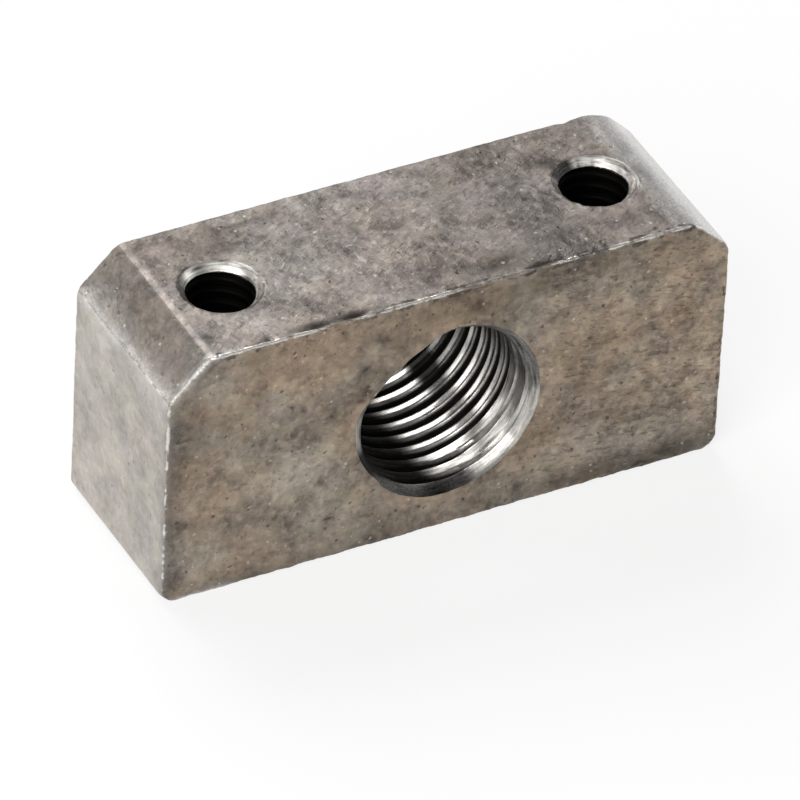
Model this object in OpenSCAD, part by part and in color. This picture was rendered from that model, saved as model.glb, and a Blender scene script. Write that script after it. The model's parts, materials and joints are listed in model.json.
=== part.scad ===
// Lead screw nut of a small lathe's cross slide: one block of steel with a threaded bore
// through its width and two tapped holes in its top face.
// Origin: middle of the bottom face. +X runs along the block, +Y along the lead screw and
// away from the front face, +Z up. All sizes in millimetres.

/* [Block] */
// Length of the block, across the lead screw
block_l = 30; // [29:0.5:40]
// Width of the block, along the lead screw
block_w = 9.9; // [7:0.1:16]
// Height of the block, from the bottom face to the seat on the slide
block_h = 14.1; // [12.6:0.1:20]

/* [Corners and edges] */
// Leg of the 45 degree chamfer at the left end of the top face
left_chamfer = 2.1; // [0.8:0.1:2.8]
// Leg of the 45 degree chamfer at the right end of the top face
right_chamfer = 1.9; // [0.8:0.1:2.8]
// Radius of the bottom corner at the left end
left_corner_r = 0.5; // [0.4:0.1:1.5]
// Radius of the bottom corner at the right end
right_corner_r = 0.8; // [0.4:0.1:1.5]
// Leg of the 45 degree edge break round the front and back faces
edge_break = 0.2; // [0.1:0.05:0.3]

/* [Lead screw bore] */
// Nominal diameter of the lead screw thread
screw_d = 10; // [6:0.5:12]
// Pitch of the lead screw thread
screw_pitch = 1; // [0.75:0.25:1.5]
// Height of the lead screw axis above the bottom face
screw_axis_z = 6.9; // [5.7:0.1:8.4]
// Depth of the 45 degree countersink at each mouth of the lead screw bore
screw_lead_in = 0.5; // [0.2:0.05:0.7]

/* [Mounting holes] */
// Nominal diameter of the two mounting screw threads
mount_d = 4; // [3:0.5:5]
// Pitch of the mounting screw threads
mount_pitch = 0.7; // [0.5:0.1:0.8]
// Distance between the two mounting holes
mount_spacing = 20; // [15:0.5:21]
// Depth of the 45 degree countersink at each mouth of a mounting hole
mount_lead_in = 0.5; // [0.2:0.05:0.6]

/* [Hidden] */

// Shares of a pitch that the flat crest and the flat root of the lead screw thread take
thread_crest_share = 0.4;
thread_root_share = 0.125;

// Tapping drill diameters: the crests of the internal threads lie on them
screw_drill_d = screw_d - screw_pitch;
mount_drill_d = mount_d - mount_pitch;

// How far a cutting shape stands out past the face that it cuts
overcut = 1;
// Longer than any edge of the block
reach = block_l + block_w + block_h;
$fn = 96;

// The six flat sides round the front outline: [direction in degrees from +X towards +Z,
// distance of the side from the origin along that direction]
outline_sides = [
    [0, block_l / 2],
    [45, (block_l / 2 + block_h - right_chamfer) / sqrt(2)],
    [90, block_h],
    [135, (block_l / 2 + block_h - left_chamfer) / sqrt(2)],
    [180, block_l / 2],
    [270, 0]
];

// Front outline of the block, with its two top end chamfers and square bottom corners
module front_outline() {
    polygon([
        [-block_l / 2, 0],
        [block_l / 2, 0],
        [block_l / 2, block_h - right_chamfer],
        [block_l / 2 - right_chamfer, block_h],
        [left_chamfer - block_l / 2, block_h],
        [-block_l / 2, block_h - left_chamfer]
    ]);
}

// Takes 45 degrees off the front or back edge (face = -1 or 1) of one flat side
module edge_break_cut(direction, distance, face) {
    tip = edge_break + overcut;
    rotate([0, -direction, 0])
        translate([distance, face * block_w / 2, 0])
            linear_extrude(height = 2 * reach, center = true)
                polygon([[-tip, face * overcut], [overcut, -face * tip], [overcut, face * overcut]]);
}

// A round bar along Y with its ends broken at 45 degrees: what is left of a rounded corner
module corner_bar(radius) {
    rotate([90, 0, 0])
        rotate_extrude()
            polygon([
                [0, -block_w / 2],
                [radius - edge_break, -block_w / 2],
                [radius, edge_break - block_w / 2],
                [radius, block_w / 2 - edge_break],
                [radius - edge_break, block_w / 2],
                [0, block_w / 2]
            ]);
}

// Takes away all of the bottom corner at one end (end = -1 or 1) that lies outside its bar
module corner_cut(end, radius) {
    side = radius + overcut;
    translate([end * (block_l / 2 - radius), 0, radius])
        difference() {
            translate([end > 0 ? 0 : -side, -block_w / 2 - overcut, -side])
                cube([side, block_w + 2 * overcut, side]);
            corner_bar(radius);
        }
}

// A through hole along Z of the given length, centred, countersunk at both mouths
module tapping_hole(drill_d, length, lead_in) {
    cylinder(h = length + 2 * overcut, d = drill_d, center = true);
    for (mouth = [-1, 1])
        translate([0, 0, mouth * length / 2])
            rotate([mouth > 0 ? 0 : 180, 0, 0])
                translate([0, 0, -lead_in])
                    cylinder(
                        h = lead_in + overcut,
                        d1 = drill_d,
                        d2 = drill_d + 2 * (lead_in + overcut)
                    );
}

// Points of one thread groove, from its lower to its upper flank: [radius, height]
function thread_groove(crest_r, root_r, pitch, middle) =
    let (mouth = pitch * (1 - thread_crest_share) / 2, root = pitch * thread_root_share / 2)
    [
        [crest_r, middle - mouth],
        [root_r, middle - root],
        [root_r, middle + root],
        [crest_r, middle + mouth]
    ];

// A through hole along Z as tapping_hole makes it, with its thread cut into the wall. The turns
// are drawn as one groove at every pitch, so that the crests stay a true cylinder.
module threaded_hole(drill_d, root_d, pitch, length, lead_in) {
    crest_r = drill_d / 2;
    mouth_r = crest_r + lead_in + overcut;
    end = length / 2 + overcut;
    wall = length - 2 * lead_in;
    turns = floor(wall / pitch - thread_crest_share);
    rotate_extrude()
        polygon(concat(
            [[0, -end], [mouth_r, -end], [crest_r, -wall / 2]],
            [
                for (turn = [1 : turns])
                    each thread_groove(crest_r, root_d / 2, pitch, (turn - (turns + 1) / 2) * pitch)
            ],
            [[crest_r, wall / 2], [mouth_r, end], [0, end]]
        ));
}

module nut_block() {
    color([0.5, 0.46, 0.42])
        difference() {
            rotate([90, 0, 0])
                linear_extrude(height = block_w, center = true)
                    front_outline();
            for (side = outline_sides, face = [-1, 1])
                edge_break_cut(side[0], side[1], face);
            corner_cut(-1, left_corner_r);
            corner_cut(1, right_corner_r);
            translate([0, 0, screw_axis_z])
                rotate([90, 0, 0])
                    threaded_hole(screw_drill_d, screw_d, screw_pitch, block_w, screw_lead_in);
            for (end = [-1, 1])
                translate([end * mount_spacing / 2, 0, block_h / 2])
                    tapping_hole(mount_drill_d, block_h, mount_lead_in);
        }
}

nut_block();
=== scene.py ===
import json
import math
from itertools import combinations

import bpy
import numpy as np
from mathutils import Matrix, Vector, noise
from mathutils.geometry import delaunay_2d_cdt


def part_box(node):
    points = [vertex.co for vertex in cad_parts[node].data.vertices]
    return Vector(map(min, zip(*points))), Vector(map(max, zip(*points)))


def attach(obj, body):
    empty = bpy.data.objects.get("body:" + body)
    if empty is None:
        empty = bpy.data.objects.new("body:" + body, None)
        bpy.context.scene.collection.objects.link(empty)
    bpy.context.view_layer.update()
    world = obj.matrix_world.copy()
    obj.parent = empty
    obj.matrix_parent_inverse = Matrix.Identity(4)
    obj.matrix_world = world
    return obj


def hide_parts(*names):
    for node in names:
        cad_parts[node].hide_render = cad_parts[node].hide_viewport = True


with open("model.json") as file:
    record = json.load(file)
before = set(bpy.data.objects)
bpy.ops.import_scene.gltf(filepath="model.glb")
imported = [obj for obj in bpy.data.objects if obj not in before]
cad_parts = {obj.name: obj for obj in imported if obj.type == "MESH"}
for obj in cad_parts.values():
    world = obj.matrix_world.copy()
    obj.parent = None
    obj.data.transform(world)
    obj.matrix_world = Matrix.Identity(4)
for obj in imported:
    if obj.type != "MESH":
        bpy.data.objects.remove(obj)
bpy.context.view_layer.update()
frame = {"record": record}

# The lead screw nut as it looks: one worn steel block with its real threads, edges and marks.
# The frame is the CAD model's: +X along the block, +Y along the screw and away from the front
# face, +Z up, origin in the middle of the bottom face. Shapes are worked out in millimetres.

MM = 0.001

# ---- sizes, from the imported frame

box_low, box_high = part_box("nut_block")
LENGTH = (box_high.x - box_low.x) / MM
WIDTH = (box_high.y - box_low.y) / MM
HEIGHT = (box_high.z - box_low.z) / MM

mounts = {mount["name"]: mount for mount in frame["record"]["mounts"]}
BORE_Z = mounts["lead_screw_thread"]["pos_m"][2] / MM
BORE_CREST_R = mounts["lead_screw_thread"]["dims"]["r_mm"]
BORE_PITCH = 1.0
BORE_THREAD_DEPTH = 0.48
HOLE_CREST_R = mounts["mounting_holes"]["dims"]["hole_r_mm"]
HOLE_SPACING = mounts["mounting_holes"]["dims"]["spacing_x_mm"]
HOLE_PITCH = 0.7
HOLE_THREAD_DEPTH = 0.36
# Middles of the mounting holes, x and y: drilled a little off their nominal places
HOLES = ((0.1 - HOLE_SPACING / 2, -0.12), (0.18 + HOLE_SPACING / 2, 0.06))

# Depths of the countersinks that are even all round, and how far the rims wander
BACK_MOUTH_DEPTH = 0.45
HOLE_MOUTH_DEPTH = 0.38
FRONT_RAGGED = 0.04
BACK_RAGGED = 0.03
HOLE_RAGGED = (0.025, 0.07)

LEFT_CHAMFER = 2.1
RIGHT_CHAMFER = 1.9
# Where the top face ends at the chamfers
TOP_LEFT = LEFT_CHAMFER - LENGTH / 2
TOP_RIGHT = LENGTH / 2 - RIGHT_CHAMFER

# Corners of the front outline, anticlockwise as seen from the front: x, z, fillet radius
CORNERS = (
    (-LENGTH / 2, 0, 0.65),
    (LENGTH / 2, 0, 0.8),
    (LENGTH / 2, HEIGHT - RIGHT_CHAMFER, 1.3),
    (TOP_RIGHT, HEIGHT, 2.3),
    (TOP_LEFT, HEIGHT, 1.0),
    (-LENGTH / 2, HEIGHT - LEFT_CHAMFER, 0.9),
)
# The side that follows each corner, with the rounding of its front edge
FRONT_EDGE_R = {
    "bottom": 0.15, "right": 0.14, "right_chamfer": 0.26,
    "top": 0.09, "left_chamfer": 0.28, "left": 0.12,
}
SIDES = tuple(FRONT_EDGE_R)
FACE_NAMES = SIDES + ("front", "back")
BACK_EDGE_R = 0.15

# ---- mesh resolution

# Columns round the outline and its corners, and facets over a rounded edge
COLUMN_STEP = 0.115
FILLET_STEP = 0.7 * COLUMN_STEP
ROLL_STEPS = 4
# Rows on a face inside its rounded edge, on the sides behind it, and across their middle
EDGE_MARGINS = (0.17, 0.07)
EDGE_GRADES = (0.05, 0.11, 0.18, 0.27, 0.4, 0.6, 0.85)
ROW_STEP = 0.4
# Points inside the front and back faces: how far apart, strewn about, and off the outline
CAP_STEP = 0.4
CAP_LEVEL_STEP = 0.87 * CAP_STEP
CAP_JITTER = 0.08
CAP_MARGIN = 0.12
# Rings of points outside the bore's crests, and the step along them
MOUTH_RINGS = (0.6, 0.75, 1.0)
MOUTH_STEP = 0.16
# Room for a dent's own points, in its size, and their rings: share of its size, number of points
DENT_ROOM = 1.5
DENT_RINGS = ((0, 1), (0.35, 6), (0.7, 10), (1.0, 12), (1.4, 14))
# Points round the threads and the countersinks
BORE_AROUND = 168
HOLE_AROUND = 44
FRONT_MOUTH_AROUND = 180
BACK_MOUTH_AROUND = 140
HOLE_MOUTH_AROUND = 72


# ---- small helpers

def unit(vector):
    return vector / np.linalg.norm(vector)


def smoothstep(low, high, value):
    share = np.clip((value - low) / (high - low), 0, 1)
    return share * share * (3 - 2 * share)


def hump(value, middle, reach):
    """1 at the middle value, fading on both sides over the reach."""
    return np.exp(-((value - middle) / reach) ** 2)


def wave(points, size, seed):
    """Smooth noise from -1 to 1 at the points, with lumps about size millimetres across."""
    shift = Vector((seed * 17.3, seed * -9.1, seed * 5.7))
    return np.array([noise.noise(Vector(p) / size + shift) for p in points])


def two_waves(points, coarse, fine, seed, middle=0):
    """Coarse and fine noise about a middle value, each given as (amount, size)."""
    big = coarse[0] * wave(points, coarse[1], seed)
    return middle + big + fine[0] * wave(points, fine[1], seed + 1)


def new_mesh(name, points, faces):
    """A Blender object from points in millimetres."""
    mesh = bpy.data.meshes.new(name)
    mesh.from_pydata((np.asarray(points) * MM).tolist(), [], faces)
    mesh.validate()
    made = bpy.data.objects.new(name, mesh)
    bpy.context.scene.collection.objects.link(made)
    return made


def read_vectors(items, name):
    """One vector of every vertex or face of a mesh, as rows."""
    flat = np.empty(3 * len(items))
    items.foreach_get(name, flat)
    return flat.reshape(-1, 3)


# ---- the block's skin

# Corners of the outline as (x, z), and the directions along and out from the side after each
CORNER_POINTS = np.array([corner[:2] for corner in CORNERS])
ALONG = [unit(side) for side in np.roll(CORNER_POINTS, -1, axis=0) - CORNER_POINTS]
OUT = np.array([(along[1], -along[0]) for along in ALONG])


def corner_arcs():
    """Start, centre, first outward normal, turn and radius of the fillet at each corner."""
    arcs = []
    for index, here in enumerate(CORNER_POINTS):
        radius = CORNERS[index][2]
        come, out = ALONG[index - 1], OUT[index - 1]
        turn = math.acos(np.clip(come @ ALONG[index], -1, 1))
        start = here - come * radius * math.tan(turn / 2)
        arcs.append((start, start - out * radius, out, turn, radius))
    return arcs


def outline_columns():
    """Points and outward normals, (x, z) each, all the way round the front outline."""
    arcs = corner_arcs()
    points, normals = [], []
    for index, (_, centre, out, turn, radius) in enumerate(arcs):
        pieces = max(4, math.ceil(radius * turn / FILLET_STEP))
        for k in range(pieces + 1):
            angle = turn * k / pieces
            cos, sin = math.cos(angle), math.sin(angle)
            normals.append(np.array(((cos, -sin), (sin, cos))) @ out)
            points.append(centre + radius * normals[-1])
        end = points[-1]
        straight = arcs[(index + 1) % len(arcs)][0] - end
        pieces = max(2, round(float(np.linalg.norm(straight)) / COLUMN_STEP))
        for k in range(1, pieces):
            points.append(end + straight * k / pieces)
            normals.append(normals[-1])
    return np.array(points), np.array(normals)


def smooth_ring(values, reach):
    """Averages a ring of values over reach neighbours on both sides."""
    shifted = [np.roll(values, k) for k in range(-reach, reach + 1)]
    return sum(shifted) / len(shifted)


def edge_radii(points, normals):
    """Rounding of the front and the back edge at every column, worn unevenly."""
    sides = np.argmax(normals @ OUT.T, axis=1)
    base = np.array([FRONT_EDGE_R[SIDES[k]] for k in sides])
    distance = np.cumsum(np.linalg.norm(points - np.roll(points, 1, axis=0), axis=1))
    line = [(value, 0.5, 0.5) for value in distance]
    uneven = two_waves(line, (0.6, 0.7), (0.4, 0.22), seed=3, middle=1)
    front = smooth_ring(base, reach=4) * np.clip(uneven, 0.4, 1.8)
    back = BACK_EDGE_R * two_waves(line, (0.4, 0.9), (0.25, 0.25), seed=5, middle=1)
    return front, back


def edge_rows(radius):
    """(inset from the outline, depth behind the face, lean of the normal) over one edge."""
    rows = [(radius + margin, 0 * radius, 90) for margin in EDGE_MARGINS]
    for k in range(ROLL_STEPS + 1):
        angle = math.radians(90 * (1 - k / ROLL_STEPS))
        inset, depth = radius * (1 - math.cos(angle)), radius * (1 - math.sin(angle))
        rows.append((inset, depth, math.degrees(angle)))
    return rows


def block_rows(front_r, back_r):
    """(inset, y, lean) of every row from the front face over the belt to the back face."""
    levels = [front_r + grade - WIDTH / 2 for grade in EDGE_GRADES]
    behind = [WIDTH / 2 - back_r - grade for grade in reversed(EDGE_GRADES)]
    start, end = levels[-1], behind[0]
    steps = round((WIDTH - 2 * EDGE_GRADES[-1] - 2 * BACK_EDGE_R) / ROW_STEP)
    levels += [start + (end - start) * (k / steps) for k in range(1, steps)] + behind
    rows = [(inset, depth - WIDTH / 2, lean) for inset, depth, lean in edge_rows(front_r)]
    rows += [(0 * front_r, level, 0) for level in levels]
    rows += [(inset, WIDTH / 2 - depth, -lean) for inset, depth, lean in reversed(edge_rows(back_r))]
    return rows


def belt(points, normals, rows):
    """Positions and normals of all rows, front to back, and the quads between them."""
    places, leans = [], []
    for inset, y, lean in rows:
        flat = points - normals * np.asarray(inset)[:, None]
        places.append(np.column_stack((flat[:, 0], y + 0 * flat[:, 0], flat[:, 1])))
        cos, sin = math.cos(math.radians(lean)), math.sin(math.radians(lean))
        level = np.full(len(points), -sin)
        leans.append(np.column_stack((normals[:, 0] * cos, level, normals[:, 1] * cos)))
    count = len(points)
    quads = []
    for row in range(len(rows) - 1):
        for column in range(count):
            after = (column + 1) % count
            a, b = row * count, (row + 1) * count
            quads.append((a + column, b + column, b + after, a + after))
    return np.concatenate(places), np.concatenate(leans), quads


def lattice_seeds(rng):
    """An even lattice of points over a whole face, strewn a little."""
    columns = np.arange(-LENGTH / 2, LENGTH / 2, CAP_STEP)
    seeds = []
    for row, z in enumerate(np.arange(0, HEIGHT, CAP_LEVEL_STEP)):
        for x in columns + (row % 2) * CAP_STEP / 2:
            shift = rng.uniform(-CAP_JITTER, CAP_JITTER, 2)
            seeds.append((x + shift[0], z + shift[1]))
    return seeds


def ring_seeds(x, z, radius, angles):
    return [(x + radius * math.cos(angle), z + radius * math.sin(angle)) for angle in angles]


def cap_seeds(ring, outward, marks, rng):
    """Points inside a face: the lattice, rings round the mouth and rings over marks."""
    seeds = lattice_seeds(rng)
    for wider in MOUTH_RINGS:
        radius = BORE_CREST_R + wider
        seeds += ring_seeds(0, BORE_Z, radius, np.arange(0, math.tau, MOUTH_STEP / radius))
    seeds = np.array(seeds)
    seeds = seeds[np.hypot(seeds[:, 0], seeds[:, 1] - BORE_Z) > BORE_CREST_R - 0.2]
    for x, z, size in marks:
        seeds = seeds[np.hypot(seeds[:, 0] - x, seeds[:, 1] - z) > DENT_ROOM * size]
        for share, around in DENT_RINGS:
            angles = [math.tau * (k + share) / around for k in range(around)]
            seeds = np.vstack((seeds, ring_seeds(x, z, share * size, angles)))
    return seeds[inside_ring(seeds, ring, outward, CAP_MARGIN)]


def inside_ring(seeds, ring, outward, margin):
    """Which points lie inside a ring (x, z) by a margin, from the ring's point nearest to each."""
    towards = ring[None, :, :] - seeds[:, None, :]
    nearest = np.argmin(np.linalg.norm(towards, axis=2), axis=1)
    towards = towards[np.arange(len(seeds)), nearest]
    return (towards * outward[nearest]).sum(axis=1) > margin


def fill_cap(ring, seeds):
    """Triangles over a ring and the seeds inside it, as indices into ring + seeds."""
    points = [Vector(p) for p in np.vstack((ring, seeds))]
    border = [list(range(len(ring)))]
    only_inside, tolerance = 1, 1e-7
    made = delaunay_2d_cdt(points, [], border, only_inside, tolerance)
    origin = [sources[0] for sources in made[3]]
    return [tuple(origin[k] for k in face) for face in made[2]]


FRONT = -WIDTH / 2


def on_front(marks):
    return [(x, FRONT, z, *rest) for x, z, *rest in marks]


def on_top(marks):
    return [(x, y, HEIGHT, *rest) for x, y, *rest in marks]


# Dents, pits and nicks: x and z on the front, or x and y on the top, half length along x, half
# size across, depth, dirt in them
DENTS = on_front((
    (-6.1, 2.35, 0.55, 0.35, 0.03, 0.7),
    (-5.65, 0.85, 0.12, 0.12, 0.06, 1.0),
    (-1.25, 1.5, 0.2, 0.12, 0.05, 0.9),
    (1.15, 1.2, 0.1, 0.1, 0.05, 0.9),
    (3.85, 0.6, 0.12, 0.1, 0.05, 0.8),
    (-11.65, 5.35, 0.14, 0.12, 0.05, 0.8),
    (-9.4, 3.0, 0.16, 0.12, 0.05, 0.7),
    (-11.35, 1.1, 0.25, 0.12, 0.05, 0.8),
    (7.1, 12.5, 0.2, 0.12, 0.05, 0.8),
    (8.2, 10.65, 0.14, 0.12, 0.06, 1.0),
    (5.5, 12.45, 0.2, 0.1, 0.04, 0.6),
    (6.6, 9.05, 0.12, 0.1, 0.04, 0.6),
    (9.2, 8.2, 0.25, 0.08, 0.03, 0.5),
    (12.45, 4.5, 0.16, 0.12, 0.05, 0.8),
    (12.55, 10.0, 0.2, 0.1, 0.05, 0.8),
    (8.4, 2.9, 0.6, 0.05, 0.03, 0.8),
    (10.9, 2.4, 0.9, 0.05, 0.03, 0.6),
    (-14.9, 0.2, 0.4, 0.4, 0.12, 0.0),
)) + on_top((
    (-9.6, FRONT + 0.3, 0.2, 0.16, 0.12, 1.0),
    (-7.1, FRONT + 0.26, 0.7, 0.18, 0.13, 1.3),
    (-5.2, FRONT + 0.24, 0.8, 0.15, 0.12, 1.3),
    (5.0, FRONT + 0.22, 0.9, 0.16, 0.12, 1.3),
    (11.0, FRONT + 0.5, 0.4, 0.25, 0.05, 0.8),
    (11.0, -FRONT, 0.25, 0.2, 0.08, 0.3),
))

# Broad tones: place, half length along x, half size across, lighter or darker, browner or greyer. Most
# are the steel's own tones and stains; the dark bands along the bottom of the front are painted shade,
# and the front also darkens towards its left edge and lightens towards its right. The last ones lie on
# the left chamfer, with x, y and z
TONES = on_front((
    (-7.9, 5.2, 2.4, 2.6, 0.28, -1.0),
    (-13.0, 9.5, 1.3, 2.8, -0.2, -0.3),
    (-8.7, 11.6, 3.6, 1.5, 0.04, 0.8),
    (-5.2, 7.4, 0.7, 2.0, 0.0, 0.9),
    (-4.7, 3.6, 0.9, 0.7, -0.03, 1.0),
    (-12.8, 2.2, 1.6, 1.3, 0.02, -0.7),
    (-6.2, 2.1, 0.6, 0.5, -0.24, -0.3),
    (-11.4, 6.2, 1.2, 1.2, 0.04, 0.7),
    (-1.5, 12.9, 4.0, 1.0, -0.14, 0.8),
    (-9.3, 13.4, 3.0, 0.5, -0.18, 0.3),
    (3.0, 13.1, 3.6, 1.0, -0.38, 0.7),
    (9.5, 13.5, 3.5, 0.5, -0.2, 0.1),
    (8.0, 7.5, 3.4, 3.5, 0.04, 0.8),
    (12.2, 6.5, 1.6, 3.0, 0.32, 0.3),
    (14.2, 6.0, 0.7, 5.0, 0.16, -0.4),
    (13.9, 11.2, 0.9, 1.3, -0.12, -0.5),
    (5.6, 2.4, 1.8, 1.0, -0.02, -0.8),
    (10.6, 2.5, 3.5, 0.9, 0.26, -0.3),
    # Painted shade: the dark bands along the bottom of the front
    (-10.0, 0.0, 6.0, 0.65, -0.42, -0.2),
    (-1.0, 0.3, 4.5, 1.2, -0.26, -0.3),
    (7.5, 0.6, 2.6, 0.8, -0.56, -0.2),
    (12.3, 0.5, 2.8, 0.85, -0.7, -0.2),
    (-14.85, 6.0, 0.6, 8.0, -0.44, -0.3),
)) + on_top((
    (-11.6, 3.8, 1.2, 0.9, 0.08, 0.8),
    (-8.8, 3.4, 2.4, 1.1, -0.21, 1.0),
    (-8.5, 2.5, 0.9, 0.3, -0.53, 0.8),
    (-7.1, 3.9, 1.0, 0.14, -0.45, 0.6),
    (-10.9, 1.8, 0.4, 0.35, -0.6, 0.6),
    (-5.0, 3.7, 0.9, 0.6, -0.29, 0.4),
    (-5.05, 1.5, 0.65, 0.35, -0.53, 0.4),
    (-9.8, -3.6, 2.6, 1.0, 0.12, -0.6),
    (-12.3, -0.3, 0.5, 2.6, 0.08, -0.4),
    (-6.4, -1.0, 1.4, 2.2, 0.11, -0.2),
    (-2.0, -1.4, 1.8, 1.6, 0.19, -0.6),
    (-7.2, -4.6, 1.0, 0.3, -0.79, 1.2),
    (-5.2, -4.6, 1.0, 0.3, -0.7, 1.2),
    (0.2, -3.0, 0.6, 0.5, -0.39, 0.5),
    (3.0, -3.8, 1.4, 0.7, -0.6, 0.9),
    (4.6, 1.6, 3.0, 2.6, -0.16, -0.1),
    (6.0, -3.2, 2.2, 1.4, -0.42, -0.6),
    (7.2, -1.2, 0.5, 1.1, -0.42, 0.2),
    (3.5, 2.9, 1.2, 0.16, -0.35, 0.0),
    (8.9, 2.2, 0.7, 0.5, -0.7, 1.0),
    (12.2, -0.2, 0.3, 0.8, -0.53, 0.0),
    (10.6, -3.4, 2.2, 1.2, -0.29, -0.3),
    (10.8, 4.2, 2.0, 0.7, -0.18, 0.0),
)) + [
    (-13.9, 0.5, 13.1, 0.9, 2.0, -0.1, 0.8),
    (-13.7, -3.6, 13.0, 0.8, 0.9, -0.2, 0.4),
    (-14.2, 3.2, 12.9, 0.6, 1.0, 0.08, -0.4),
]


# How far off its face a mark still shows
MARK_REACH = 0.3


def mark_share(points, x, y, z, long, wide):
    """1 in a mark's middle, fading over its own size along its face and quickly off the face."""
    across = [wide, wide if z < HEIGHT else MARK_REACH]
    if y == FRONT:
        across = [MARK_REACH, wide]
    away = (points - (x, y, z)) / (long, *across)
    return np.exp(-(away ** 2).sum(axis=1))


def tone_shift(points):
    """Lighter or darker, and browner or greyer, at each point."""
    shade, brown = np.zeros((2, len(points)))
    for *place, lighter, browner in TONES:
        share = mark_share(points, *place)
        shade += lighter * share
        brown += browner * share
    return shade, brown


def dent_depth(points):
    """How far the marks push each point in, and how much dirt they hold there."""
    depth, dirt = np.zeros((2, len(points)))
    for *place, deep, dark in DENTS:
        share = mark_share(points, *place)
        depth += deep * share
        dirt = np.maximum(dirt, dark * share)
    return depth, dirt


def behind_front(points):
    return points[:, 1] + WIDTH / 2


# Height of the burr along the front edge of the top face, and depth of the hollows behind it
BURR_HEIGHT = 0.04
HOLLOW_DEPTH = 0.04


def burr_height(points):
    """The broken burr along the front edge of the top face, with hollows behind it."""
    on_top = smoothstep(HEIGHT - 0.1, HEIGHT - 0.02, points[:, 2])
    along = points * (1, 0, 0)
    raised = np.clip(two_waves(along, (1, 1.1), (1, 0.3), seed=11), 0, 1)
    hollow = np.clip(two_waves(along, (1, 0.8), (0.7, 0.25), seed=13), 0, 1)
    ridge = BURR_HEIGHT * raised * hump(behind_front(points), 0.06, 0.08)
    return on_top * (ridge - HOLLOW_DEPTH * hollow * hump(behind_front(points), 0.25, 0.14))


def worn_points(points, normals):
    """Moves the skin in and out along its normals: hand finishing, wear, dents and burrs."""
    push = two_waves(points, (0.012, 4.0), (0.006, 0.9), seed=1) - 0.006 * np.abs(wave(points, 0.35, 7))
    push += burr_height(points) - dent_depth(points)[0]
    return points + normals * push[:, None]


def block_skin():
    """The closed skin of the block, before its holes are cut."""
    outline, normals = outline_columns()
    rows = block_rows(*edge_radii(outline, normals))
    places, leans, faces = belt(outline, normals, rows)
    count = len(outline)
    rng = np.random.default_rng(5)
    front_marks = [(x, z, max(long, wide)) for x, y, z, long, wide, *_ in DENTS if y == FRONT]
    for first_row, marks, facing in ((0, front_marks, -1), (len(rows) - 1, [], 1)):
        ring_start = first_row * count
        ring = places[ring_start:ring_start + count][:, (0, 2)]
        seeds = cap_seeds(ring, normals, marks, rng)
        seed_start = len(places)
        level = np.full(len(seeds), facing * WIDTH / 2)
        places = np.vstack((places, np.column_stack((seeds[:, 0], level, seeds[:, 1]))))
        leans = np.vstack((leans, np.tile((0, facing, 0), (len(seeds), 1))))
        for face in fill_cap(ring, seeds):
            corners = [k + ring_start if k < count else k - count + seed_start for k in face]
            faces.append(tuple(corners if facing < 0 else reversed(corners)))
    return new_mesh("nut_body", worn_points(places, leans), faces)


# ---- threads and countersinks

# One pitch of an internal thread: place along the pitch, share of the thread's depth
THREAD_PROFILE = (
    (0.0, 0.0), (0.1, 0.005), (0.19, 0.04), (0.25, 0.14), (0.33, 0.44), (0.41, 0.76),
    (0.47, 0.95), (0.53, 0.99), (0.59, 0.76), (0.67, 0.44), (0.75, 0.14), (0.81, 0.04), (0.9, 0.005),
)
# Roughness of its crests
TOOL_MARKS = 0.01


def polar(radius, angles, level):
    """Points round a cutter's axis."""
    return np.column_stack((radius * np.cos(angles), radius * np.sin(angles), level + 0 * angles))


def thread_cutter(name, crest_r, depth, pitch, length, around, place, worn, lip):
    """A solid with a helical thread round it, which cuts a tapped hole.

    Its own axes are a to the right, b up and c towards a viewer at the mouth. place takes
    (a, b, c) points to the block, and the thread is right-handed. worn(degrees, c) is the
    share of the thread's depth that wear has filled or flattened there, and lip(degrees, c)
    how far the metal is pushed in over the hole.
    """
    per_turn = len(THREAD_PROFILE)
    turns = math.ceil(length / pitch) + 2
    angles = np.arange(around) * math.tau / around
    degrees = np.degrees(angles)
    points = []
    for turn in range(turns):
        for share, profile in THREAD_PROFILE:
            c = (turn + share - turns / 2) * pitch + pitch * angles / math.tau
            groove = depth * np.maximum(profile - worn(degrees, c), 0)
            grain = wave(polar(9, angles, turn * 3 + share * 8), 2.0, 21)
            radius = crest_r + groove - lip(degrees, c) + TOOL_MARKS * (1 - profile) * grain
            points.append(polar(radius, angles, c))
    points = np.concatenate(points)
    rows = turns * per_turn
    faces = helix_quads(rows, per_turn, around) + helix_ends(rows, per_turn, around)
    top, bottom = points[:, 2].max() + pitch, points[:, 2].min() - pitch
    return new_mesh(name, place(np.vstack((points, (0, 0, bottom), (0, 0, top)))), faces)


def helix_quads(rows, per_turn, around):
    """Quads of a helical strip: after one round each row goes on as the row a turn later."""
    quads = []
    for row in range(rows - 1):
        for k in range(around):
            here, above = row * around + k, (row + 1) * around + k
            if k + 1 < around:
                quads.append((here, here + 1, above + 1, above))
            elif row + 1 + per_turn < rows:
                low = (row + per_turn) * around
                quads.append((here, low, low + around, above))
    return quads


def helix_ends(rows, per_turn, around):
    """Fans that close both ends of the helical strip, to the last two points."""
    bottom, top = rows * around, rows * around + 1
    low_loop = list(range(around)) + [row * around for row in range(per_turn, 0, -1)]
    last = (rows - 1) * around
    step = [row * around + around - 1 for row in range(rows - 2, rows - 2 - per_turn, -1)]
    high_loop = list(range(last, last + around)) + step
    faces = []
    for loop, tip, up in ((low_loop, bottom, False), (high_loop, top, True)):
        for k, here in enumerate(loop):
            after = loop[(k + 1) % len(loop)]
            faces.append((here, after, tip) if up else (after, here, tip))
    return faces


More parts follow.
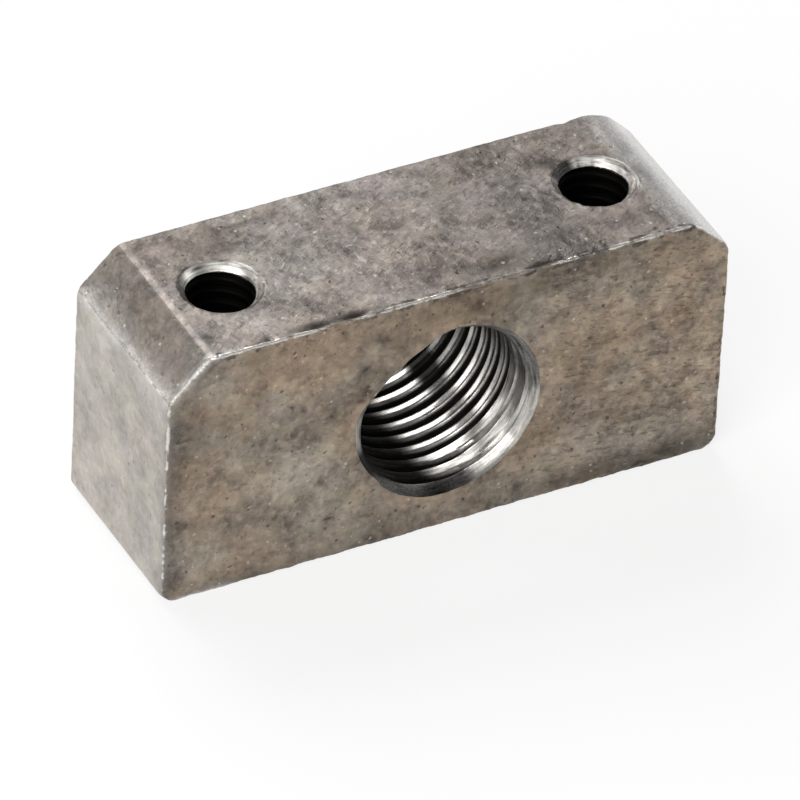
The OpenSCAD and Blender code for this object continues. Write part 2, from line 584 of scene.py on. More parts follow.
# A countersink cutter's rings, from the mouth: inwards below 0, outwards above
CONE_LEVELS = (
    -1.6, -1.2, -0.9, -0.7, -0.5, -0.42, -0.35, -0.28, -0.2, -0.12, -0.06, -0.02, 0.03, 0.15, 0.4)
# How far its rim is rounded over
RIM_ROUNDING = 0.06
# Where the mouth is worn open, the bell closes to this far inside the crests at this depth
BELL_CLOSES = 0.4
BELL_DEPTH = 1.3
# For a mouth that isn't worn open
NO_BELL = -0.1


def countersink_cutter(name, crest_r, lead_in, bell, around, place, ragged):
    """A cone, wide towards the viewer, whose rim wanders as a hand countersink's does.

    lead_in gives the depth of the 45 degree cone by angle, and bell how far the mouth is worn
    open behind it.
    """
    angles = np.arange(around) * math.tau / around
    lead, worn = lead_in(np.degrees(angles)), bell(np.degrees(angles))
    chatter = ragged * two_waves(polar(1, angles, 0), (1, 0.25), (0.6, 0.08), seed=31)
    points = []
    for level in CONE_LEVELS:
        cone = crest_r + lead + level + chatter + RIM_ROUNDING * smoothstep(-0.15, 0.06, level)
        opened = (worn + BELL_CLOSES) * (1 + level / BELL_DEPTH)
        sleeve = np.minimum(crest_r - BELL_CLOSES + opened + 0.5 * chatter, crest_r + worn)
        radius = np.maximum(np.maximum(cone, sleeve), 0.3 * crest_r)
        points.append(polar(radius, angles, level))
    tips = ((0, 0, CONE_LEVELS[0] - 0.2), (0, 0, CONE_LEVELS[-1] + 0.2))
    points = np.vstack((*points, *tips))
    return new_mesh(name, place(points), stack_faces(len(CONE_LEVELS), around))


def stack_faces(rows, around):
    """Faces over a stack of rings, closed at both ends to the last two points."""
    faces = []
    last, tips = (rows - 1) * around, rows * around
    for k in range(around):
        after = (k + 1) % around
        for a in range(0, last, around):
            faces.append((a + k, a + after, a + around + after, a + around + k))
        faces.append((after, k, tips))
        faces.append((last + k, last + after, tips + 1))
    return faces


def bore_place(y, facing):
    """From a viewer's axes at a place in the bore to the block's. The front mouth faces -1."""
    def place(points):
        a, b, c = points.T
        return np.column_stack((-facing * a, y + facing * c, b + BORE_Z))
    return place


def hole_place(x, y, z, facing):
    """From a viewer's axes at a place in a mounting hole to the block's. The top mouth faces 1."""
    def place(points):
        a, b, c = points.T
        return np.column_stack((x + a, y + facing * b, z + facing * c))
    return place


def near_angle(degrees, middle, inner, outer):
    """1 within inner degrees of the middle direction, fading to 0 at outer degrees."""
    away = np.abs((degrees - middle + 180) % 360 - 180)
    return smoothstep(outer, inner, away)


# Directions round the front mouth of the bore, in degrees anticlockwise from the right: where it
# is worn open, where it is hammered in, and where it has no countersink and the turns are closed
WORN_OPEN = 325
HAMMERED_IN = 130
CLOSED = 125


def front_lead_in(degrees):
    """Depth of the countersink round the front mouth: deep lower right, hardly any upper left."""
    left = near_angle(degrees, 165, 15, 95)
    upper_left = near_angle(degrees, CLOSED, 14, 32)
    return 0.44 - 0.42 * left - 0.3 * upper_left


def front_bell(degrees):
    """How far the front mouth is worn open: only lower right, and closed upper left."""
    opened = 0.22 * near_angle(degrees, WORN_OPEN, 25, 65)
    return opened + NO_BELL - 0.16 * near_angle(degrees, HAMMERED_IN, 14, 36)


def bore_wear(degrees, c):
    """The first turns are flattened at the lower right of the mouth and closed at the upper left."""
    from_mouth = WIDTH / 2 - c
    flattened = 0.6 * near_angle(degrees, WORN_OPEN, 10, 80) * smoothstep(3.4, 0.8, from_mouth)
    closed = 0.8 * near_angle(degrees, CLOSED, 22, 45) * smoothstep(1.5, 0.9, from_mouth)
    return flattened + closed


def bore_lip(degrees, c):
    """The upper left of the front mouth is hammered in a little."""
    from_mouth = WIDTH / 2 - c
    return 0.15 * near_angle(degrees, HAMMERED_IN, 14, 36) * smoothstep(0.9, 0.4, from_mouth)


def even(amount):
    """The same depth, wear or lip in every direction."""
    return lambda degrees, c=0: amount + 0 * degrees


def hole_cutters():
    """Everything that is cut from the block: the threads and the countersinks at every mouth."""
    cutters = [
        thread_cutter(
            "bore_thread", BORE_CREST_R, BORE_THREAD_DEPTH, BORE_PITCH, WIDTH, BORE_AROUND,
            bore_place(0, -1), bore_wear, bore_lip),
        countersink_cutter(
            "bore_front_mouth", BORE_CREST_R, front_lead_in, front_bell, FRONT_MOUTH_AROUND,
            bore_place(-WIDTH / 2, -1), FRONT_RAGGED),
        countersink_cutter(
            "bore_back_mouth", BORE_CREST_R, even(BACK_MOUTH_DEPTH), even(NO_BELL),
            BACK_MOUTH_AROUND, bore_place(WIDTH / 2, 1), BACK_RAGGED),
    ]
    for (x, y), ragged in zip(HOLES, HOLE_RAGGED):
        cutters.append(thread_cutter(
            "hole_thread", HOLE_CREST_R, HOLE_THREAD_DEPTH, HOLE_PITCH, HEIGHT, HOLE_AROUND,
            hole_place(x, y, HEIGHT / 2, 1), even(0), even(0)))
        for z, facing in ((HEIGHT, 1), (0, -1)):
            cutters.append(countersink_cutter(
                "hole_mouth", HOLE_CREST_R, even(HOLE_MOUTH_DEPTH), even(NO_BELL),
                HOLE_MOUTH_AROUND, hole_place(x, y, z, facing), ragged))
    return cutters


def cut(body, cutters):
    """Subtracts every cutter from the body for good, and removes the cutters."""
    for cutter in cutters:
        step = body.modifiers.new(cutter.name, "BOOLEAN")
        step.operation = "DIFFERENCE"
        step.solver = "MANIFOLD"
        step.object = cutter
    shown = body.evaluated_get(bpy.context.evaluated_depsgraph_get())
    mesh = bpy.data.meshes.new_from_object(shown)
    body.modifiers.clear()
    body.data = mesh
    for cutter in cutters:
        bpy.data.objects.remove(cutter)


# ---- wear, dirt, and painted light and shade on the mesh

# Points closer to the bore's axis than this belong to the bore or its mouths
BORE_REACH = 6
# How far outside the crests the cut metal of a mouth reaches
MOUTH_REACH = 0.7

# Along each edge: bare bright metal, dark dirt, soft pale lightening that is partly chalky wear and
# partly painted highlight, and their reach in millimetres. The two sides are named in the order of
# FACE_NAMES
EDGE_LOOKS = {
    "top front": (1.4, 1.0, 0.12, 0.15),
    "left_chamfer front": (0.3, 0.1, 0.8, 0.16),
    "left front": (0.8, 0.4, 0.1, 0.14),
    "bottom front": (0.2, 0.4, 0.0, 0.2),
    "right front": (0.3, 0.8, 0.0, 0.14),
    "right_chamfer front": (0.4, 0.3, 0.2, 0.2),
    "top left_chamfer": (0.05, 0.0, 0.04, 0.34),
    "left_chamfer left": (0.0, 0.0, 0.26, 0.4),
    "right_chamfer top": (0.0, 0.0, 0.0, 0.5),
    "right right_chamfer": (0.1, 0.0, 0.0, 0.4),
    "bottom left": (0.3, 0.2, 0.2, 0.3),
}
OTHER_EDGE_LOOK = (0.5, 0.2, 0.0, 0.18)


def plane_distances(points):
    """Distance of each point inside each of the block's eight flat faces."""
    inside = []
    for (x, z), (out_x, out_z) in zip(CORNER_POINTS, OUT):
        inside.append((x - points[:, 0]) * out_x + (z - points[:, 2]) * out_z)
    inside += [behind_front(points), WIDTH / 2 - points[:, 1]]
    return np.abs(np.array(inside))


def edge_look(points):
    """Bare metal, dirt and pale lightening at each point, from the edge that it is nearest to. The
    lightening is partly chalky wear and partly painted highlight, and also holds the painted light of the
    right end.
    """
    away = plane_distances(points)
    order = np.argsort(away, axis=0)
    pair = np.sort(order[:2], axis=0)
    gap = np.take_along_axis(away, order[1:2], axis=0)[0]
    bare, dirt, haze_and_light = np.zeros((3, len(points)))
    chance = two_waves(points, (1, 0.9), (0.5, 0.3), seed=41, middle=0.5)
    broken = np.clip(two_waves(points, (1.1, 0.8), (0.8, 0.25), seed=43, middle=0.8), 0.1, 1.4)
    for a, b in combinations(range(len(FACE_NAMES)), 2):
        here = (pair[0] == a) & (pair[1] == b)
        edge = FACE_NAMES[a] + " " + FACE_NAMES[b]
        bright, dirty, pale, reach = EDGE_LOOKS.get(edge, OTHER_EDGE_LOOK)
        bare[here] = (bright * broken * hump(gap, 0, reach))[here]
        dirt[here] = (dirty * chance * hump(gap, 1.4 * reach, reach))[here]
        haze_and_light[here] = (pale * (0.5 + 0.5 * broken) * np.exp(-gap / reach))[here]
    # The bright line of the top's front edge is worn off beside the bore
    bare *= 1 - 0.6 * near_x(points, 2.6, 1.8, 3.4)
    haze_and_light = np.maximum(haze_and_light, pale_corner(points, gap))
    on_chamfer = order[0] == FACE_NAMES.index("left_chamfer")
    fade = 0.08 * on_chamfer * np.exp(-away[FACE_NAMES.index("left")] / 0.4)
    return bare, np.clip(dirt, 0, 1), haze_and_light + fade + lit_right_end(points)


def pale_corner(points, gap):
    """The front edges are pale where the top meets the left chamfer: partly chalky wear, partly a painted
    highlight on the rounded corner.
    """
    here = near_x(points, TOP_LEFT, 1.0, 2.6) * smoothstep(0.6, 0.3, behind_front(points))
    return 0.6 * here * np.exp(-gap / 0.16)


def lit_right_end(points):
    """Painted light: the right chamfer, which faces the light, is painted bright, and the top is painted
    gradually paler towards it.
    """
    high = smoothstep(HEIGHT - RIGHT_CHAMFER - 0.3, HEIGHT - RIGHT_CHAMFER, points[:, 2])
    between = smoothstep(WIDTH / 2 - 0.02, WIDTH / 2 - 0.14, np.abs(points[:, 1]))
    along = points[:, 0] - TOP_RIGHT + 0.2 * wave(points, 0.8, 52)
    return high * between * (0.36 * smoothstep(-1.5, -0.5, along) + 0.66 * smoothstep(-0.8, 0.3, along))


def near_x(points, middle, inner, outer):
    """1 within inner millimetres of a place along the block, fading to 0 at outer."""
    return smoothstep(outer, inner, np.abs(points[:, 0] - middle))


def bore_radius(points):
    return np.hypot(points[:, 0], points[:, 2] - BORE_Z)


def lay_strength(points):
    """How strong the marks of the lay are: full on the top and to the right, weak elsewhere."""
    on_top = points[:, 2] > HEIGHT - 0.5
    return 0.35 + 0.65 * np.maximum(smoothstep(3, 7, points[:, 0]), on_top)


def paint_masks(body):
    """Writes the vertex masks that the materials read."""
    points = read_vectors(body.data.vertices, "co") / MM
    bare, dirt, haze_and_light = edge_look(points)
    shade, brown = tone_shift(points)
    outside_bore = bore_radius(points) > BORE_REACH
    # Besides wear, dirt and tones, these masks carry painted light: the pale lightening holds painted
    # highlights on the edges and the painted light of the right end, the tones hold painted shade along
    # the bottom of the front, and the oil holds painted shade and painted dark reflections in the holes
    masks = {
        "bare": bare, "haze_and_light": haze_and_light, "shade": shade, "brown": brown, "matte": outside_bore,
        "dirt": np.maximum(dirt, dent_depth(points)[1]),
        "oil": np.where(outside_bore, hole_oil_and_shade(points), bore_oil_and_shade(points)),
        "lay": lay_strength(points),
    }
    for name, values in masks.items():
        layer = body.data.attributes.new(name, "FLOAT", "POINT")
        layer.data.foreach_set("value", values.astype(np.float32))


# Painted dark reflections in the bore and round its front mouth, darkening the threads and the
# countersink where they mirror dark parts of the studio: strength, direction in degrees, its reach at
# full strength and at none, and for some the depths behind the front between which it sets in
BORE_DARK_REFLECTIONS = (
    (0.32, 308, 4, 12, 1.4, 2.4), (0.24, 334, 22, 44), (0.6, 40, 24, 56), (0.4, 330, 26, 40, 5.0, 7.6),
)
MOUTH_DARK_REFLECTIONS = ((0.5, 50, 30, 60), (0.7, 240, 34, 56), (0.36, WORN_OPEN, 30, 50), (0.4, 170, 30, 50))


def dark_reflections_by_angle(stains, angle, behind):
    """All painted dark reflections of a table together."""
    total = 0
    for strength, middle, inner, outer, *sets_in in stains:
        share = strength * near_angle(angle, middle, inner, outer)
        total = total + (share * smoothstep(*sets_in, behind) if sets_in else share)
    return total


def bore_oil_and_shade(points):
    """Black oil with painted shade in the grooves, a painted dark reflection low on the left of the bore,
    painted dark reflections in bands along it, and more round its mouth.
    """
    behind = behind_front(points)
    angle = np.degrees(np.arctan2(points[:, 2] - BORE_Z, points[:, 0]))
    inside = smoothstep(0.35, 0.6, np.minimum(behind, WIDTH - 1.1 - behind))
    scoured = 0.75 * near_angle(angle, WORN_OPEN, 12, 60) * smoothstep(2.6, 0.9, behind)
    groove = (inside - scoured) * smoothstep(BORE_CREST_R, BORE_CREST_R + 0.22, bore_radius(points))
    # Painted dark reflection: low on the left the bore is darkened where it mirrors the dark studio
    dark_left_reflection = 0.8 * near_angle(angle, 230, 28, 50) * smoothstep(0.3, 0.9, behind)
    dark_band_reflections = dark_reflections_by_angle(BORE_DARK_REFLECTIONS, angle, behind)
    mouth = dark_reflections_by_angle(MOUTH_DARK_REFLECTIONS, angle, behind) * smoothstep(0.7, 0.3, behind)
    return np.clip(np.maximum(np.maximum(groove, dark_left_reflection), np.maximum(mouth, dark_band_reflections)), 0, 1)


def round_holes(points):
    """Depth from the mouth, distance and direction from the axis of the nearer mounting hole."""
    from_mouth = np.minimum(points[:, 2], HEIGHT - points[:, 2])
    x, y = (points[:, :2] - np.array(HOLES)[(points[:, 0] > 0).astype(int)]).T
    return from_mouth, np.hypot(x, y), np.degrees(np.arctan2(y, x))


def hole_oil_and_shade(points):
    """Black oil with painted shade in the depths of the mounting holes, setting in deeper on the far side
    as a painted glint of the first turns, and countersinks dulled with painted shade but for a bright far
    side.
    """
    from_mouth, _, angle = round_holes(points)
    # Painted light and shade: the far side of each hole is left bright and the rest of its countersink is
    # dulled
    bright = near_angle(angle, 62, 30, 62)
    stain = 0.7 * near_angle(angle, 124, 18, 36) * (points[:, 0] > 0)
    dull = 0.5 - 0.5 * near_angle(angle, 76, 34, 62)
    dark = smoothstep(0.28 + 0.24 * bright, 0.44 + 0.24 * bright, from_mouth)
    return np.maximum(dark, np.maximum(stain, dull))


def hole_parts(points):
    """Which points may lie in a mounting hole, and which of them are dull like the faces: painted shade
    all round the countersink but for the far side, which catches the light.
    """
    from_mouth, radius, angle = round_holes(points)
    inside = radius < HOLE_CREST_R + MOUTH_REACH
    lit_far_side = near_angle(angle + 12 * wave(points, 0.2, 51), 80, 66, 86) > 0.5
    return inside, inside & (from_mouth < 0.3) & ~lit_far_side


# ---- materials

class Nodes:
    """Short ways to add nodes to one material."""

    def __init__(self, name):
        self.material = bpy.data.materials.new(name)
        self.material.use_nodes = True
        self.tree = self.material.node_tree
        self.tree.nodes.clear()

    def add(self, kind, inputs, output=0, **settings):
        """Adds a node and gives one of its outputs. Inputs go by name or number, and each is a
        value or another node's output."""
        node = self.tree.nodes.new("ShaderNode" + kind)
        for key, value in settings.items():
            setattr(node, key, value)
        for key, value in inputs.items():
            if isinstance(value, bpy.types.NodeSocket):
                self.tree.links.new(value, node.inputs[key])
            else:
                node.inputs[key].default_value = value
        return node.outputs[output] if node.outputs else None

    def place(self, stretch=(1, 1, 1), turn=(0, 0, 0)):
        """Object coordinates in millimetres, turned and then stretched."""
        spun = self.add("Mapping", {"Vector": self.add("TexCoord", {}, "Object"), "Rotation": turn})
        return self.add("Mapping", {"Vector": spun, "Scale": [k / MM for k in stretch]})

    def noise(self, vector, scale, detail=2, rough=0.5, seed=0.0, warp=0.0, output="Fac"):
        inputs = {
            "Vector": vector, "W": seed, "Scale": scale,
            "Detail": detail, "Roughness": rough, "Distortion": warp,
        }
        return self.add("TexNoise", inputs, output, noise_dimensions="4D")

    def ragged(self, vector, scale, reach, seed):
        """A vector shifted by noise, up to about reach millimetres each way."""
        inputs = {0: self.noise(vector, scale, seed=seed, output="Color"), 1: (2 * reach,) * 3, 2: vector}
        return self.add("VectorMath", inputs, operation="MULTIPLY_ADD")

    def spots(self, vector, scale, size, share, seed):
        """1 on round spots of a given size in millimetres, in a share of the cells."""
        shifted = self.add("VectorMath", {0: vector, 1: (3.1 * seed, -1.7 * seed, 2.3 * seed)})
        distance = self.add("TexVoronoi", {"Vector": shifted, "Scale": scale}, "Distance")
        near = self.span(distance, size * scale, 0.4 * size * scale)
        lot = self.add("SeparateColor", {"Color": distance.node.outputs["Color"]}, "Red")
        return self.times(near, self.span(lot, share + 0.02, share - 0.02))

    def mask(self, name):
        return self.add("Attribute", {}, "Fac", attribute_name=name)

    def span(self, value, low, high, to_low=0.0, to_high=1.0):
        """Smoothly maps low..high to to_low..to_high, clamped."""
        inputs = {
            "Value": value, "From Min": low, "From Max": high, "To Min": to_low, "To Max": to_high,
        }
        return self.add("MapRange", inputs, interpolation_type="SMOOTHSTEP")

    def math(self, operation, a, b=0.0, c=0.0):
        return self.add("Math", {0: a, 1: b, 2: c}, operation=operation)

    def swing(self, value, amount):
        """A noise's swing about its middle, scaled."""
        return self.math("MULTIPLY_ADD", value, amount, -0.5 * amount)

    def times(self, a, b):
        return self.math("MULTIPLY", a, b)

    def plus(self, a, b):
        return self.math("ADD", a, b)

    def minus(self, a, b):
        return self.math("SUBTRACT", a, b)

    def highest(self, a, b):
        return self.math("MAXIMUM", a, b)

    def blend(self, share, a, b, mode="MIX"):
        """Mixes two colours."""
        return self.add("Mix", {0: share, 6: a, 7: b}, 2, data_type="RGBA", blend_type=mode)

    def tint(self, colour, value):
        """Scales a colour by a number."""
        return self.add("VectorMath", {0: colour, "Scale": value}, operation="SCALE")

    def finish(self, colour, roughness, height, metallic):
        """The surface shader, with bump from a height in millimetres."""
        relief = self.add("Bump", {"Height": height, "Strength": 1.0, "Distance": MM})
        shader = self.add("BsdfPrincipled", {
            "Base Color": colour, "Roughness": roughness, "Metallic": metallic, "Normal": relief,
        })
        self.add("OutputMaterial", {"Surface": shader})
        return self.material


def paint(red, green, blue):
    """A linear colour from sRGB levels, 0 to 255."""
    return tuple((level / 255) ** 2.2 for level in (red, green, blue)) + (1,)


BARE_STEEL = paint(226, 222, 216)
# Near-white of chalky wear and of painted highlights and light
CHALK_AND_HIGHLIGHT = paint(246, 244, 241)
DIRT = paint(56, 50, 44)
BROWN_DIRT = paint(82, 66, 50)
# Black of oil, and of painted shade and dark reflections, in the holes
BLACK_OIL_AND_SHADE = paint(22, 21, 20)
# Faint tints that mill scale and old oil give the steel, to multiply a colour by
GREENISH = (0.992, 1.006, 0.982, 1)
PURPLISH = (1.006, 0.992, 1.008, 1)

# Turns of the lay that a tool left on a side
BRUSHED = (0, 0, math.radians(-24))
SAWN = (0, math.radians(-13), 0)
UPRIGHT = (0, math.radians(90), 0)

# How the sides look: streak scales the contrast of the lay, spread that of the tones and spots, and
# relief the bump. Their colours differ partly by finish and partly as painted light and shade: the ends
# are painted lighter and the left chamfer darker
SIDE_LOOKS = {
    "front": dict(
        cool=paint(139, 131, 120), warm=paint(144, 128, 111), stain=paint(129, 110, 91),
        lay=SAWN, streak=0.36, spread=1.05, relief=1.0, roughness=0.5),
    "top": dict(
        cool=paint(136, 130, 126), warm=paint(134, 125, 118), stain=paint(88, 78, 70),
        lay=BRUSHED, streak=0.3, spread=1.05, relief=0.28, roughness=0.5),
    "left": dict(
        cool=paint(170, 164, 158), warm=paint(167, 161, 152), stain=paint(152, 144, 135),
        lay=UPRIGHT, streak=0.1, spread=0.52, relief=0.4, roughness=0.45),
    "left_chamfer": dict(
        cool=paint(107, 101, 96), warm=paint(105, 97, 89), stain=paint(86, 78, 70),
        lay=BRUSHED, streak=0.15, spread=1.0, relief=0.7, roughness=0.5),
}
LOOKS_LIKE_SIDE = {"back": "front", "bottom": "top", "right": "left", "right_chamfer": "top"}


def tone_layers(n, place, rough_place, spread):
    """Lighter and darker: soft clouds, flaked scale with sharp borders, pocks, knobs and grain."""
    tone = n.noise(place, 0.35, 4, 0.6, seed=1.0)
    flakes = n.span(n.noise(rough_place, 0.7, 4, 0.6, seed=17.0, warp=0.6), 0.46, 0.54)
    mottle = n.span(n.noise(place, 1.1, 3, 0.55, seed=21.0, warp=0.4), 0.38, 0.62)
    pocks = n.span(n.noise(place, 2.2, 2, 0.5, seed=18.0, warp=0.3), 0.32, 0.52)
    knobs = n.span(n.noise(place, 2.6, 2, 0.5, seed=10.0), 0.48, 0.68)
    grain = n.noise(place, 8.0, 2, 0.6, seed=4.0)
    shade = n.span(tone, 0.36, 0.64, 1 - 0.3 * spread, 1 + 0.3 * spread)
    for layer, amount in ((flakes, 0.13), (mottle, 0.24), (pocks, 0.22), (knobs, 0.24), (grain, 0.2)):
        shade = n.plus(shade, n.swing(layer, amount * spread))
    return tone, flakes, pocks, knobs, grain, shade


def lay_layers(n, lay, streak):
    """Dark dashes and pale ridges along the tool's lay, and the shade of its lines."""
    strength = n.mask("lay")
    scuffs = n.noise(n.place(stretch=(1.6, 4.4, 4.4), turn=lay), 1.0, 3, 0.5, seed=5.0)
    strokes = n.noise(n.place(stretch=(0.6, 2.8, 2.8), turn=lay), 1.0, 3, 0.6, seed=19.0)
    dashes = n.times(n.span(scuffs, 0.54, 0.68), strength)
    ridges = n.times(n.span(scuffs, 0.44, 0.34), strength)
    lines = n.plus(n.swing(scuffs, 1.6 * streak), n.swing(strokes, 1.6 * streak))
    lines = n.plus(lines, n.times(ridges, 0.6 * streak))
    return dashes, ridges, n.times(lines, strength)


def steel_colour(n, place, flakes, cool, warm, stain):
    """The steel's colour for a side: cool and warm, with stains, and faintly tinted by scale and oil."""
    brown = n.mask("brown")
    hue = n.noise(place, 0.2, 3, 0.55, seed=2.0, warp=0.4)
    warmth = n.span(n.plus(hue, n.times(brown, 0.14)), 0.34, 0.66)
    rust = n.noise(place, 0.7, 3, 0.5, seed=22.0, warp=0.6)
    stains = n.span(n.plus(rust, n.times(brown, 0.1)), 0.52, 0.7)
    colour = n.blend(warmth, cool, warm)
    colour = n.blend(n.times(stains, 0.4), colour, stain)
    return n.blend(1.0, colour, n.blend(flakes, PURPLISH, GREENISH), "MULTIPLY")


def worn_and_lit_edges(n, place, grain, colour):
    """The colour with the masks' bare metal, pale lightening and dirt on it, and the bare share. The
    lightening is partly chalky wear and partly painted highlight and light.
    """
    haze_and_light = n.mask("haze_and_light")
    ragged = n.swing(n.noise(place, 4.5, 3, 0.75, seed=9.0), 1.6)
    bare = n.span(n.plus(n.mask("bare"), ragged), 0.4, 0.85)
    dirty = n.span(n.plus(n.mask("dirt"), ragged), 0.4, 0.8)
    blotch = n.noise(place, 0.5, 5, 0.7, seed=3.0, warp=0.8)
    cloudy = n.times(haze_and_light, n.plus(1.0, n.plus(n.swing(blotch, 0.7), n.swing(grain, 1.2))))
    colour = n.blend(n.times(bare, 0.75), colour, BARE_STEEL)
    colour = n.blend(cloudy, colour, CHALK_AND_HIGHLIGHT)
    colour = n.tint(colour, n.plus(1.0, n.times(haze_and_light, n.swing(grain, 0.4))))
    return n.blend(n.times(dirty, 0.75), colour, DIRT), bare


def block_material(name, cool, warm, stain, lay, streak, spread, relief, roughness):
    """Worn mill-finished steel: tones and flaked scale, stains, dashes along a lay, pits, nicks."""
    n = Nodes(name)
    place = n.place()
    rough_place = n.ragged(place, 3.0, 0.18, 15.0)
    tone, flakes, pocks, knobs, grain, shade = tone_layers(n, place, rough_place, spread)
    dashes, ridges, lines = lay_layers(n, lay, streak)
    spots = n.spots(rough_place, 0.75, 0.2, 0.3, 16.0)
    pits = n.spots(rough_place, 1.5, 0.12, 0.35, 7.0)
    specks = n.spots(rough_place, 3.2, 0.07, 0.5, 20.0)
    nicks = n.spots(rough_place, 2.0, 0.1, 0.26, 8.0)

    colour = steel_colour(n, place, flakes, cool, warm, stain)
    # The tones scale the colour here, the painted shade along the bottom of the front among them
    colour = n.tint(colour, n.times(n.plus(shade, lines), n.plus(1.0, n.mask("shade"))))
    colour = n.blend(n.times(dashes, 1.5 * streak), colour, BROWN_DIRT)
    light = n.highest(n.times(nicks, 0.34 * spread), n.times(ridges, 0.2 * streak))
    colour = n.blend(light, colour, BARE_STEEL)
    dark = n.highest(n.times(spots, 0.5), n.highest(pits, n.times(specks, 0.6)))
    colour = n.blend(n.times(dark, 0.6 * spread), colour, DIRT)
    colour, bare = worn_and_lit_edges(n, place, grain, colour)

    rough = n.minus(n.plus(n.swing(tone, 0.6), roughness), n.times(bare, 0.15))
    lumps = n.noise(place, 1.7, 1, 0.4, seed=23.0)
    height = n.plus(n.times(grain, 0.01 * relief), n.times(lumps, 0.1 * relief))
    height = n.plus(height, n.plus(n.times(pocks, 0.016 * relief), n.times(knobs, 0.016 * relief)))
    height = n.plus(height, n.times(n.minus(ridges, dashes), 0.07 * streak * relief))
    height = n.minus(height, n.times(n.highest(pits, n.times(specks, 0.4)), 0.05 * relief))
    return n.finish(colour, rough, height, metallic=0.7)


def cut_material(name):
    """Steel cut by the tap inside the holes: satin crests with fine rings, and black where oil, painted
    shade and painted dark reflections lie.
    """
    n = Nodes(name)
    matte = n.mask("matte")

    def either(in_bore, in_holes):
        """A number in the bore and another in the mounting holes."""
        return n.plus(in_bore, n.times(matte, in_holes - in_bore))

    place = n.place()
    along_bore = n.noise(n.place(stretch=(1.0, 14, 1.0)), 1.0, 3, 0.6, seed=11.0)
    along_hole = n.noise(n.place(stretch=(0.7, 0.7, 9)), 1.0, 3, 0.6, seed=14.0)
    smear = n.plus(along_bore, n.times(matte, n.minus(along_hole, along_bore)))
    cloud = n.noise(place, 0.9, 4, 0.6, seed=12.0)
    grain = n.noise(place, 9.0, 2, 0.6, seed=13.0)
    rings = n.times(n.plus(smear, -0.5), either(1.6, 4.0))
    # The holes' cut steel is painted lighter than the bore's, a painted highlight on the far side of
    # their countersinks
    shade = n.plus(n.plus(n.swing(cloud, 1.3), rings), either(0.68, 0.88))
    oiled_and_shaded = n.span(n.plus(n.mask("oil"), n.swing(grain, 0.2)), 0.15, 0.85)
    colour = n.tint(BARE_STEEL[:3], shade)
    # Oil with painted shade and painted dark reflections turns the cut steel black
    colour = n.blend(n.times(oiled_and_shaded, either(0.975, 0.997)), colour, BLACK_OIL_AND_SHADE)
    rough = n.plus(n.plus(n.swing(cloud, 0.3), n.times(oiled_and_shaded, 0.16)), either(0.31, 0.45))
    height = n.plus(n.times(smear, 0.004), n.times(grain, 0.006))
    return n.finish(colour, rough, height, metallic=1.0)


def dress(body):
    """Gives every face of the body the look of the side that it lies on."""
    slots = list(SIDE_LOOKS) + ["holes"]
    body.data.materials.clear()
    for side, finish in SIDE_LOOKS.items():
        body.data.materials.append(block_material(side + "_steel", **finish))
    body.data.materials.append(cut_material("cut_steel"))
    body.data.polygons.foreach_set("material_index", face_slots(body, slots))
    body.data.shade_smooth()
    body.data.set_sharp_from_angle(angle=math.radians(38))


# A face that looks more directly than this along a hole's axis isn't a wall of the hole
FLAT = 0.97


def face_slots(body, slots):
    """The material slot of each face, from where it lies and which way it looks."""
    centres = read_vectors(body.data.polygons, "center") / MM
    normals = read_vectors(body.data.polygons, "normal")
    directions = [(x, 0, z) for x, z in OUT] + [(0, -1, 0), (0, 1, 0)]
    facing = np.argmax(normals @ np.array(directions, float).T, axis=1)
    chosen = np.array([slots.index(LOOKS_LIKE_SIDE.get(name, name)) for name in FACE_NAMES])[facing]
    in_hole, worn = hole_parts(centres)
    in_hole &= np.abs(normals[:, 2]) < FLAT
    in_bore = (bore_radius(centres) < BORE_CREST_R + MOUTH_REACH) & (np.abs(normals[:, 1]) < FLAT)
    # Painted shade: the countersink faces marked here, all but the far side, get the dull top finish
    chosen[in_hole & worn] = slots.index("top")
    chosen[in_bore | (in_hole & ~worn)] = slots.index("holes")
    return chosen.astype(np.int32)


# ---- floor, lights and camera

FLOOR_REACH = 4000
# How much of what is seen of the floor is plain white light. The rest, paper, keeps the shadow
FLOOR_GLOW = 0.75
WHITE = (1, 1, 1, 1)
PAPER = (0.9, 0.9, 0.9, 1)
STUDIO = (0.08, 0.08, 0.08, 1)

# Softboxes: direction from the nut, distance and side in metres, watts
LAMPS = {
    "left_softbox": ((-0.65, -0.5, 0.57), 0.6, 0.5, 3.6),
    "back_softbox": ((0.0, 0.69, 0.68), 0.6, 0.4, 2.6),
    "side_softbox": ((-0.7, 0.69, 0.18), 0.6, 0.35, 1.6),
    "right_fill": ((0.95, -0.2, 0.35), 0.8, 0.5, 1.5),
}


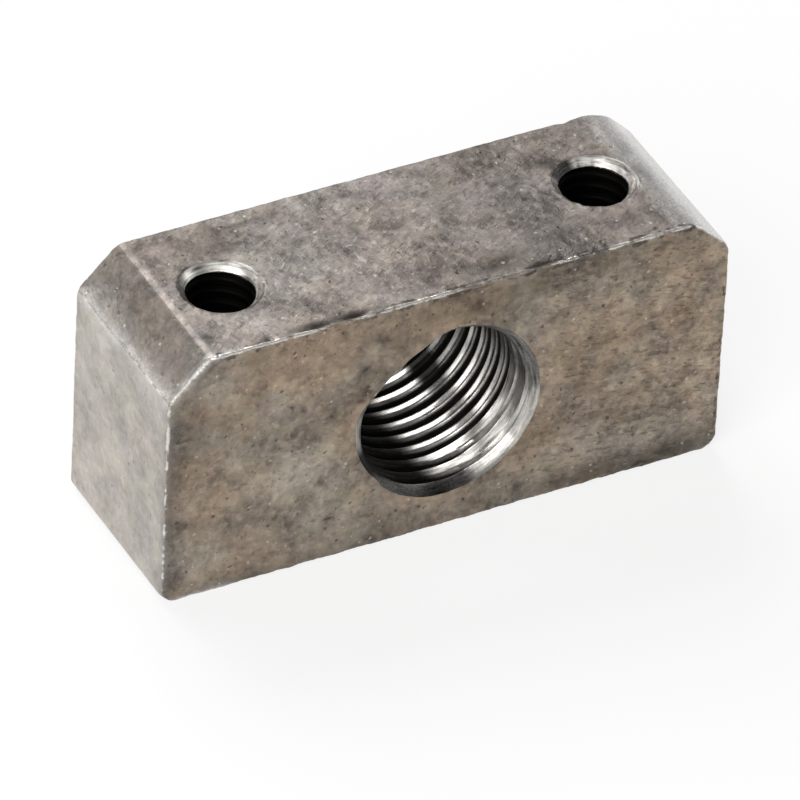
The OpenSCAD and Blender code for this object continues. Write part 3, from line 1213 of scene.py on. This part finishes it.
def make_floor():
    """A plain white floor, which keeps a soft shadow of the nut."""
    corners = [(x * FLOOR_REACH, y * FLOOR_REACH, 0) for x, y in ((-1, -1), (1, -1), (1, 1), (-1, 1))]
    floor = new_mesh("floor", corners, [(0, 1, 2, 3)])
    n = Nodes("white_floor")
    seen = n.highest(n.add("LightPath", {}, "Is Camera Ray"), n.add("LightPath", {}, "Is Glossy Ray"))
    seen = n.highest(seen, n.add("LightPath", {}, "Is Transmission Ray"))
    paper = n.add("BsdfDiffuse", {"Color": PAPER})
    glow = n.add("Emission", {"Color": WHITE, "Strength": 1.0})
    both = n.add("MixShader", {0: n.times(seen, FLOOR_GLOW), 1: paper, 2: glow})
    n.add("OutputMaterial", {"Surface": both})
    floor.data.materials.append(n.material)


def make_lamp(name, direction, distance, size, watts):
    """A square soft light that shines at the middle of the nut."""
    middle = Vector((0, 0, HEIGHT / 2)) * MM
    light = bpy.data.lights.new(name, "AREA")
    light.size = size
    light.energy = watts
    lamp = bpy.data.objects.new(name, light)
    towards = Vector(direction).normalized()
    lamp.location = middle + towards * distance
    lamp.rotation_euler = towards.to_track_quat("Z", "Y").to_euler()
    lamp.visible_camera = False
    bpy.context.scene.collection.objects.link(lamp)


def make_lights():
    """Soft lights round a dim studio: the holes mirror them in bands, as the real ones do."""
    for name, settings in LAMPS.items():
        make_lamp(name, *settings)
    world = bpy.data.worlds.new("studio")
    world.use_nodes = True
    background = world.node_tree.nodes["Background"]
    background.inputs["Color"].default_value = STUDIO
    background.inputs["Strength"].default_value = 1.0
    bpy.context.scene.world = world


def make_camera():
    """A long lens above the front left corner, level but for a slight roll."""
    azimuth, elevation, roll = math.radians(-29.15), math.radians(37.82), math.radians(3.12)
    target = Vector((1.06, 1.65, 2.555)) * MM
    distance = 561.35 * MM
    camera = bpy.data.cameras.new("camera")
    camera.lens = 523.0
    camera.sensor_width = 36
    camera.clip_start = 0.01
    camera.clip_end = 20
    turn = (
        Matrix.Rotation(azimuth, 4, "Z")
        @ Matrix.Rotation(math.pi / 2 - elevation, 4, "X")
        @ Matrix.Rotation(roll, 4, "Z")
    )
    back = turn @ Vector((0, 0, 1))
    holder = bpy.data.objects.new("camera", camera)
    holder.matrix_world = Matrix.Translation(target + back * distance) @ turn
    bpy.context.scene.collection.objects.link(holder)
    bpy.context.scene.camera = holder


# ---- the scene

make_camera()
make_lights()
make_floor()

nut = block_skin()
cut(nut, hole_cutters())
paint_masks(nut)
dress(nut)
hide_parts("nut_block")
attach(nut, "root")

bpy.context.scene.view_settings.view_transform = "Standard"
